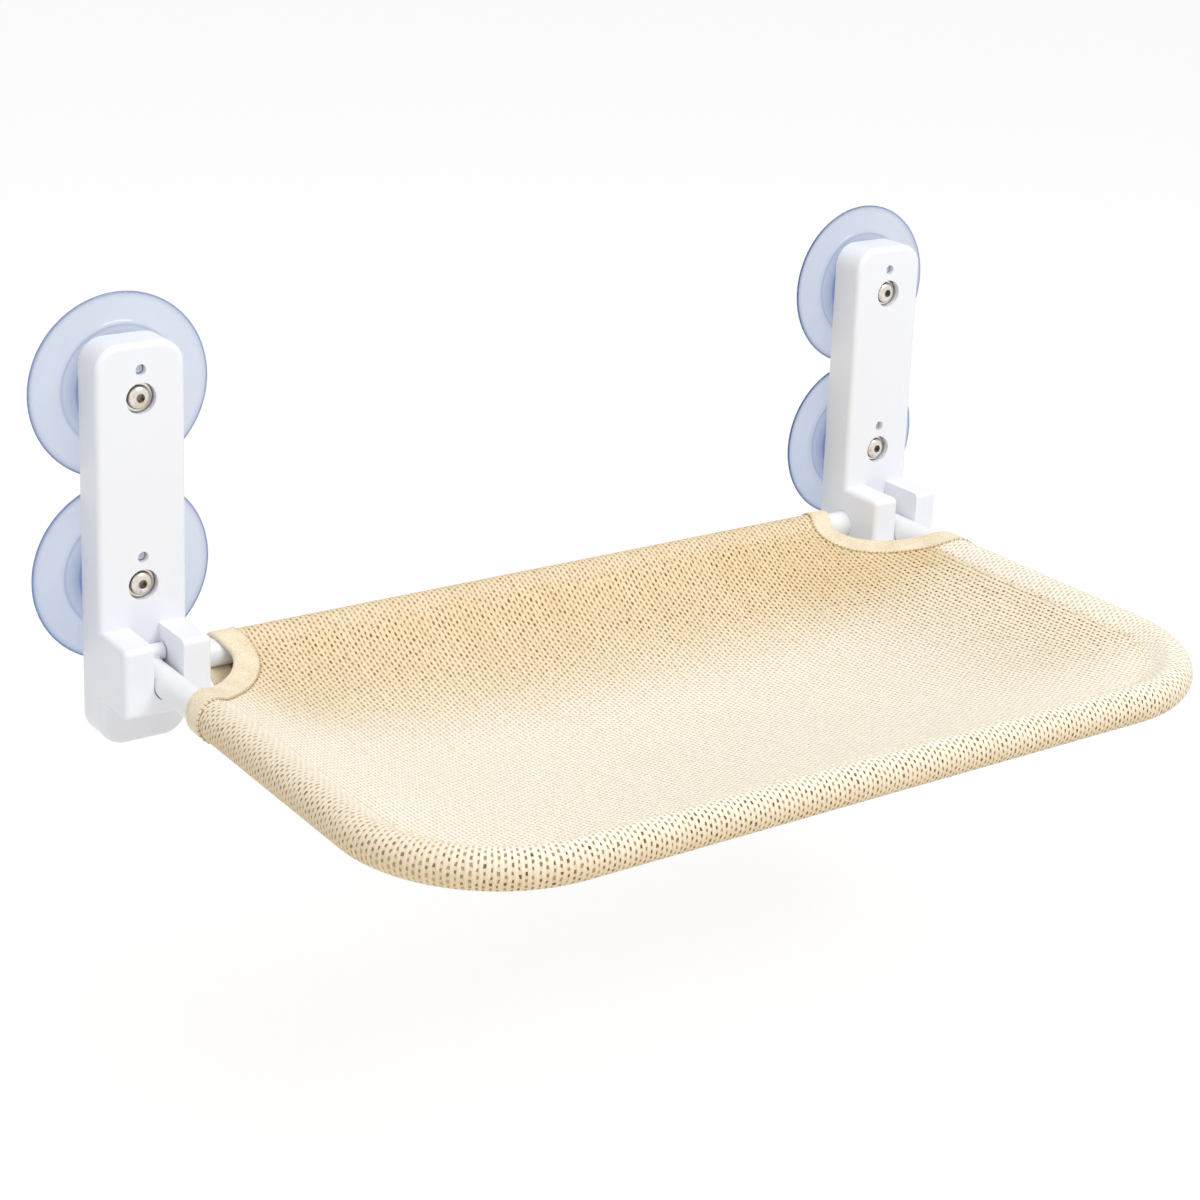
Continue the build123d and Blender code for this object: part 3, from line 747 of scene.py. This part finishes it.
# The weave, by its places on the flat sheet, which two noises shift a little
warp_pitch, weft_pitch = 2.7 * MM, 3.2 * MM
warp_half_share, weft_half_share = 0.37, 0.31
slow_drift, quick_drift = (50.0, 1.7 * MM), (270.0, 1.3 * MM)
woven_fabric, shader, mix = finish("woven_fabric", IOR=1.45, Sheen_Weight=0.15)
shader.inputs["Sheen Roughness"].default_value = 0.5
shader.inputs["Specular IOR Level"].default_value = 0.3
flat_map = mix.add("ShaderNodeUVMap", uv_map="flat")
place = flat_map
for scale, reach in (slow_drift, quick_drift):
    drift = mix.add("ShaderNodeTexNoise", {"Vector": flat_map, "Scale": scale, "Detail": 1.0}, output=1)
    drift = mix.add("ShaderNodeVectorMath", {0: drift, 1: (0.5, 0.5, 0.5)}, operation="SUBTRACT")
    shift = {0: drift, 1: (reach, reach, 0), 2: place}
    place = mix.add("ShaderNodeVectorMath", shift, operation="MULTIPLY_ADD")
yarn_place = apart(mix, place)

# Proud yarns at the middle of each warp cell, and short yarns across each gap, half a step on from
# one gap to the next
warp_at = mix.math("DIVIDE", yarn_place[0], warp_pitch)
gap_number = mix.math("FLOOR", mix.math("ADD", warp_at, 0.5))
stagger = mix.math("FRACT", mix.math("MULTIPLY", gap_number, 0.5))
weft_at = mix.math("ADD", mix.math("DIVIDE", yarn_place[1], weft_pitch), stagger)
warp_number, weft_number = mix.math("FLOOR", warp_at), mix.math("FLOOR", weft_at)
off_warp = mix.math("SUBTRACT", mix.math("SUBTRACT", warp_at, warp_number), 0.5)
off_weft = mix.math("SUBTRACT", mix.math("SUBTRACT", weft_at, weft_number), 0.5)
swell = pattern(mix, scale=300.0, detail=1.0, place=flat_map)
swell_share, gap_depth = 0.34, 0.9


def yarn(off, half_share, round_share, sink):
    """Height and cover of one set of yarns with a round section: high at its middle, low in the gaps.

    The height goes with the square root of 1 minus the square of the distance from the middle.
    """
    half = mix.math("MULTIPLY_ADD", mix.math("SUBTRACT", swell, 0.5), swell_share, half_share)
    inner = mix.math("DIVIDE", off, half)
    section = mix.math("SUBTRACT", 1.0, mix.math("MULTIPLY", inner, inner))
    cover = mix.ramp(section, 0.0, 0.3)
    rounded = mix.math("SQRT", mix.math("MAXIMUM", section, 0.0))
    height = mix.math("MULTIPLY_ADD", rounded, round_share, -sink)
    gap = mix.math("MULTIPLY", mix.math("SUBTRACT", 1.0, cover), gap_depth)
    return mix.math("SUBTRACT", mix.math("MULTIPLY", height, cover), gap), cover


warp_height, warp_cover = yarn(off_warp, warp_half_share, round_share=0.8, sink=0.0)
weft_height, weft_cover = yarn(off_weft, weft_half_share, round_share=0.45, sink=0.1)
weave_height = mix.math("MAXIMUM", warp_height, weft_height)
cover = mix.math("MAXIMUM", warp_cover, weft_cover)
on_top = mix.math("GREATER_THAN", warp_height, weft_height)

# Fibres drawn out along whichever yarn lies on top, and a tone that differs from yarn to yarn too
fibre_across, fibre_along = 2600.0, 420.0
yarn_tone, fibre_tone, cloud_tone = 0.15, 0.7, 0.3
fibres = []
for scale in ((fibre_across, fibre_along, 1.0), (fibre_along, fibre_across, 1.0)):
    stretched = mix.add("ShaderNodeMapping", {"Vector": flat_map, "Scale": scale})
    fibres.append(pattern(mix, scale=1.0, detail=3.0, place=stretched))
fibre = mix.add("ShaderNodeMix", {0: on_top, 2: fibres[1], 3: fibres[0]})
warp_lot = mix.add("ShaderNodeTexWhiteNoise", {"W": warp_number}, noise_dimensions="1D")
cloud = pattern(mix, scale=28.0, place=flat_map)
tone = mix.math("ADD", mix.math("MULTIPLY", warp_lot, yarn_tone), mix.math("MULTIPLY", fibre, fibre_tone))
tone = mix.ramp(mix.math("ADD", tone, mix.math("MULTIPLY", cloud, cloud_tone)), 0.25, 1.0)

# Painted shade: pale yarn turns darker and warmer where marked so, deeper low in the weave, and brown in
# the holes
hole_shade, yarn_shade = marked(mix, "hole_shade"), marked(mix, "yarn_shade")
pale_yarn = mix.blend(tone, paint(252, 245, 228), paint(255, 253, 246))
shaded_yarn = mix.blend(tone, paint(230, 203, 158), paint(248, 227, 189))
hole_shade_warming = 0.55
low_yarn_shade = mix.math("MAXIMUM", yarn_shade, mix.math("MULTIPLY", hole_shade, hole_shade_warming))
# Painted shade where the yarns dip low between the proud ones
crease_shade_yarn = mix.blend(low_yarn_shade, paint(249, 236, 209), paint(220, 184, 130))
shaded = mix.blend(mix.ramp(weave_height, 0.0, 0.6), crease_shade_yarn, mix.blend(yarn_shade, pale_yarn, shaded_yarn))
hole_number = mix.math("FLOOR", mix.math("ADD", weft_at, 0.5))
hole_place = mix.add("ShaderNodeCombineXYZ", {0: gap_number, 1: hole_number})
hole_lot = mix.add("ShaderNodeTexWhiteNoise", {"Vector": hole_place}, noise_dimensions="2D")
# Painted shade: the holes turn brown as far as marked, varied a little from hole to hole
hole_darkness = mix.math("MULTIPLY", hole_shade, mix.ramp(hole_lot, 0.0, 1.0, 0.6, 1.0))
hole_shade_colour = mix.blend(hole_darkness, paint(240, 214, 168), paint(112, 82, 38))
mix.link(mix.blend(mix.ramp(cover, 0.1, 0.75), hole_shade_colour, shaded), shader, "Base Color")
mix.link(mix.ramp(cover, 0.0, 1.0, 0.95, 0.62), shader, "Roughness")
fibre_share = 0.16
texture = mix.math("MULTIPLY_ADD", fibre, fibre_share, weave_height)
relief(shader, mix, texture, strength=0.8, depth=0.45 * MM)

sling = piece("woven_sling", sling_points, sling_faces, woven_fabric)
sling.data.uv_layers.new(name="flat").data.foreach_set("uv", corner_flat.astype(np.float32).ravel())
wall = sling.modifiers.new("wall", "SOLIDIFY")
wall.thickness = cloth_thickness
wall.offset = 0
wall.use_even_offset = False

# Painted shade in the holes of the weave, dark beside the rear bar, on the slope to the right, and on the
# outer half of the rolls
plan_x, plan_y = plan[..., 0], plan[..., 1]
rear_fade, right_fade = 70 * MM, 75 * MM
even_hole_shade, rear_hole_shade, right_hole_shade = 0.12, 0.86, 0.85
near_rear = np.exp(-((np.maximum(seam_rear - plan_y, 0) / rear_fade) ** 3))
from_left = step_up(seam_x + plan_x, start=0, length=45 * MM)
from_front = step_up(plan_y - seam_front, start=10 * MM, length=60 * MM)
near_right = peak(seam_x - plan_x, right_fade) * from_front
panel_hole_shade = even_hole_shade + rear_hole_shade * near_rear * from_left + right_hole_shade * near_right
to_right = step_up(hem_seam[:, 0], start=170 * MM, length=55 * MM)[None]
to_left = step_up(-hem_seam[:, 0], start=190 * MM, length=30 * MM)[None]
past = past_seam[:, None]
under_left = to_left * step_up(past, start=24 * MM, length=10 * MM)
outer_half = between(0.08, 1.0, step_up(past, start=11 * MM, length=8 * MM))
outer_half = outer_half * between(1.0, 0.8, to_left) * between(1.0, 0.55, under_left)
inner_half = between(0.2, 0.05, step_up(past, start=0, length=12 * MM))
hem_hole_shade = between(outer_half, inner_half, to_right)

# Painted shade on the yarn, darker and warmer: towards the rear bar, a little on the right, and low on the
# rolls
least_yarn_shade, rear_yarn_shading, right_yarn_shading = 0.02, 0.9, 0.5
panel_yarn_shade = least_yarn_shade + rear_yarn_shading * near_rear * between(0.3, 1.0, from_left)
panel_yarn_shade = panel_yarn_shade + right_yarn_shading * near_right
top_yarn_shade = between(0.08, 0.4, to_left * step_up(past, start=4 * MM, length=12 * MM))
hem_yarn_shade = between(top_yarn_shade, 1.0, step_up(past, start=15 * MM, length=20 * MM))
hem_yarn_shade = hem_yarn_shade * between(1.0, 0.3, to_right)
sleeve_hole_shade, sleeve_yarn_shade = 0.75, 0.8
rear_whole = np.ones((len(past_seam), across_count))
for layer_name, parts in (
    ("hole_shade", (panel_hole_shade, hem_hole_shade, sleeve_hole_shade * rear_whole)),
    ("yarn_shade", (panel_yarn_shade, hem_yarn_shade, sleeve_yarn_shade * rear_whole)),
):
    mark(sling, layer_name, np.concatenate([part.ravel() for part in parts]))

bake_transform(sling)
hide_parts("sling_hem", "sling_panel", "sling_rear_sleeve")

# Bindings of the cut corners
# Smooth cotton tape folded over the cut edge and topstitched: it runs as a cuff round the end of the
# rear sleeve, along the curve of the cut-out, and as a cuff round the end of the hem.
tape_width = 12 * MM
tape_thickness = 0.8 * MM
tape_clearance = 0.03 * MM
tape_end_gap = 1 * MM
fold_inset = 0.4 * MM
tape_out = cloth_thickness / 2 + tape_thickness
tape_in = cloth_thickness / 2 + tape_clearance
cuff_steps, curve_steps, fold_steps = 44, 60, 9


def cloth_point(x, y, side):
    """Place on the cloth for a flat place (x, y): the panel, or the fold past its rail or rear seam."""
    past_rail = np.maximum(np.abs(x) - seam_x, 0)
    past_rear = np.maximum(y - seam_rear, 0)
    rail_in, rail_up = wrap(past_rail)
    rear_in, rear_up = wrap(past_rear, droop)
    on_panel = np.stack([x, y, panel_height(x, np.minimum(y, seam_rear))], -1)
    on_rail = np.stack([side * (rail_line - rail_in), y, axis_height + rail_up], -1)
    on_rear = np.stack([x, bar_line - rear_in, axis_height + rear_up], -1)
    place = np.where((past_rail > 0)[..., None], on_rail, on_panel)
    return np.where((past_rear > 0)[..., None], on_rear, place)


def cut_edge(count_cuff, count_cut):
    """Flat places along the cut edge of the left corner, and the directions from it into the cloth."""
    whole = roll_length - tape_end_gap
    past = np.linspace(whole, 0, count_cuff, endpoint=False)
    rear = np.stack([-rear_end - cuff(past), seam_rear + past], -1)
    curve = cut_line(count_cut + 1)[:-1]
    past = np.linspace(0, whole, count_cuff)
    rail = np.stack([-seam_x - past, cutout_end - slant(past)], -1)
    edge = np.concatenate([rear, curve, rail])
    along = np.gradient(edge, axis=0)
    along /= np.linalg.norm(along, axis=1)[:, None]
    return edge, np.stack([-along[:, 1], along[:, 0]], -1)


def folded(out):
    """One face of the tape: in to the cut edge, half a circle round it, and back on the other side."""
    run = np.linspace(tape_width, fold_inset, fold_steps)
    turn = np.linspace(0.5 * math.pi, 1.5 * math.pi, fold_steps)
    level = np.full(fold_steps, out)
    arc = np.stack([fold_inset + abs(out) * np.cos(turn), out * np.sin(turn)], -1)
    return np.concatenate([np.stack([run, level], -1), arc[1:-1], np.stack([run[::-1], -level], -1)])


edge, into = cut_edge(cuff_steps, curve_steps)
tape_profile = np.concatenate([folded(tape_out), folded(-tape_in)])


def on_cloth(edge, into, profile, side):
    """Carries a profile (distance into the cloth, height above it) along the cut edge, over the cloth.

    The height goes along the normal, the cross product of two short steps on the cloth.
    """
    distance, height = profile[:, 0][None, :], profile[:, 1][None, :, None]
    x = edge[:, :1] + into[:, :1] * distance
    y = edge[:, 1:] + into[:, 1:] * distance
    step = 0.4 * MM
    place = cloth_point(x, y, side)
    east = cloth_point(x + step, y, side) - cloth_point(x - step, y, side)
    north = cloth_point(x, y + step, side) - cloth_point(x, y - step, side)
    normal = np.cross(east, north)
    normal /= np.linalg.norm(normal, axis=-1)[..., None]
    return place + normal * height


tape_fabric, shader, mix = finish("tape_fabric", IOR=1.45, Sheen_Weight=0.2)
shader.inputs["Sheen Roughness"].default_value = 0.5
shader.inputs["Specular IOR Level"].default_value = 0.25
flat_map = mix.add("ShaderNodeUVMap", uv_map="flat")
flat_place = apart(mix, flat_map)
fine_pitch = 0.55 * MM
ribs = [mix.math("SINE", mix.math("MULTIPLY", flat_place[i], 2 * math.pi / fine_pitch)) for i in (0, 1)]
twill = mix.math("MULTIPLY", ribs[0], ribs[1])
fleck = pattern(mix, scale=900.0, detail=3.0, place=flat_map)
cloud = pattern(mix, scale=90.0, place=flat_map)
fleck_tone, cloud_tone = 0.6, 0.4
tone = mix.math("ADD", mix.math("MULTIPLY", fleck, fleck_tone), mix.math("MULTIPLY", cloud, cloud_tone))
tape_colour = mix.blend(mix.ramp(tone, 0.3, 0.62), paint(226, 205, 166), paint(247, 234, 208))
mix.link(tape_colour, shader, "Base Color")
mix.link(mix.ramp(fleck, 0.2, 0.8, 0.7, 0.85), shader, "Roughness")
fleck_rise, twill_rise = 1.2, 0.5
texture = mix.math("MULTIPLY_ADD", fleck, fleck_rise, mix.math("MULTIPLY", twill, twill_rise))
relief(shader, mix, texture, strength=0.6, depth=0.06 * MM)

for side, side_name in ((-1, "left"), (1, "right")):
    here = edge * [-side, 1]
    inward = into * [-side, 1]
    tape_points = on_cloth(here, inward, tape_profile, side)
    rows, columns = tape_points.shape[:2]
    outer = np.arange(columns // 2 - 1)
    end = np.stack([outer, outer + 1, columns - 2 - outer, columns - 1 - outer], -1)
    other_end = (rows - 1) * columns + end[:, ::-1]
    tape_faces = np.concatenate([grid_faces(rows, columns, wrap_columns=True), end, other_end])
    tape = piece(f"tape_binding_{side_name}", tape_points, tape_faces, tape_fabric)
    close_up(tape)
    corner_vertex = np.zeros(len(tape.data.loops), np.int32)
    tape.data.loops.foreach_get("vertex_index", corner_vertex)
    tape_flat = vertex_places(tape)[corner_vertex, :2].astype(np.float32)
    tape.data.uv_layers.new(name="flat").data.foreach_set("uv", tape_flat.ravel())
    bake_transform(tape)
    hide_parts(f"sling_binding_{side_name}")

# Stitching
# Cotton thread: brown stitches over the inner edge of each binding, above and below, their brown partly
# painted shade for the dark gaps along that edge, and one row of cream stitches that joins the panel to the
# hem and to the sleeve.
thread_radius, thread_sides = 0.3 * MM, 6
binding_pitch, binding_half = 2.4 * MM, 0.9 * MM
hem_pitch, hem_half = 3.7 * MM, 1.35 * MM
seam_margin = 2 * MM
stitch_rise = np.array([-0.3, 0.16, 0.3, 0.16, -0.3]) * MM
run_shares = np.array([-1.0, -0.75, 0, 0.75, 1.0])
out_shares = np.array([0, 0.1, 0.5, 0.8, 0.8])
stitch_girth = np.array([0, 0.8, 1, 0.8, 0]) * thread_radius


def stitches(name, middle, upright, material):
    """Short threads with tapered ends, each a circle carried along its middle line.

    middle holds the points (stitch, point, xyz), and upright their upward directions.
    """
    along = np.gradient(middle, axis=1)
    aside = np.cross(along, upright)
    aside /= np.linalg.norm(aside, axis=-1)[..., None]
    lifted = np.cross(aside, along)
    lifted /= np.linalg.norm(lifted, axis=-1)[..., None]
    angle = np.linspace(0, 2 * math.pi, thread_sides, endpoint=False)[:, None]
    circle = np.cos(angle) * aside[:, :, None] + np.sin(angle) * lifted[:, :, None]
    points = middle[:, :, None] + stitch_girth[:, None, None] * circle
    one = grid_faces(len(run_shares), thread_sides, wrap_columns=True)
    first = np.arange(len(middle)) * len(run_shares) * thread_sides
    made = piece(name, points, (one + first[:, None, None]).reshape(-1, 4), material)
    close_up(made)
    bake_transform(made)
    return made


def evenly(points, values, pitch):
    """Values at even steps of about the pitch along a line of points, half a step in from both ends."""
    run = np.concatenate([[0], np.cumsum(np.linalg.norm(np.diff(points, axis=0), axis=1))])
    count = int(run[-1] / pitch)
    place = (np.arange(count) + 0.5) * run[-1] / count
    return np.stack([np.interp(place, run, values[:, i]) for i in range(values.shape[1])], -1)


def thread(name, dark, light):
    """Material of a spun cotton thread in two shades."""
    material, shader, mix = finish(name, IOR=1.45)
    spin = pattern(mix, scale=2200.0)
    mix.link(mix.blend(spin, dark, light), shader, "Base Color")
    gloss(shader, mix, spin, smoothest=0.6, roughest=0.8)
    relief(shader, mix, spin, strength=0.5, depth=0.05 * MM)
    return material


# Real stitches, whose brown is partly painted shade for the dark gaps at the tape's inner edge
shade_brown_thread = thread("shade_brown_thread", paint(166, 136, 92), paint(214, 188, 144))
cream_thread = thread("cream_thread", paint(240, 226, 194), paint(254, 246, 224))
cut_path = cloth_point(*(edge + into * tape_width).T, -1)
stitch_line = evenly(cut_path, np.concatenate([edge, into], 1), binding_pitch)
stitch_across = tape_width - binding_half * run_shares
thread_out = cloth_thickness / 2 + out_shares * tape_thickness + stitch_rise
for side, side_name in ((-1, "left"), (1, "right")):
    here = stitch_line[:, :2] * [-side, 1]
    inward = stitch_line[:, 2:] * [-side, 1]
    rows = []
    for face in (1, -1):
        middle = on_cloth(here, inward, np.stack([stitch_across, face * thread_out], -1), side)
        above = on_cloth(here, inward, np.stack([stitch_across, face * (thread_out + MM)], -1), side)
        rows.append((middle, above - middle))
    middle, upright = (np.concatenate(parts) for parts in zip(*rows))
    row = stitches(f"stitches_binding_{side_name}", middle, upright, shade_brown_thread)

seams = {
    "hem": (hem_seam - hem_outward * seam_margin, hem_outward),
    "sleeve": (rear_side - rear_outward * seam_margin, rear_outward),
}
for seam_name, (line, outward) in seams.items():
    stepped = evenly(line, np.concatenate([line, outward], 1), hem_pitch)
    forward_run = np.stack([stepped[:, 3], -stepped[:, 2]], -1)[:, None]
    flat_line = stepped[:, None, :2] + forward_run * (hem_half * run_shares)[:, None]
    height = panel_height(flat_line[..., 0], flat_line[..., 1]) + cloth_thickness / 2 + stitch_rise
    middle = np.concatenate([flat_line, height[..., None]], -1)
    upright = np.broadcast_to([0.0, 0.0, 1.0], middle.shape)
    row = stitches(f"stitches_{seam_name}", middle, upright, cream_thread)
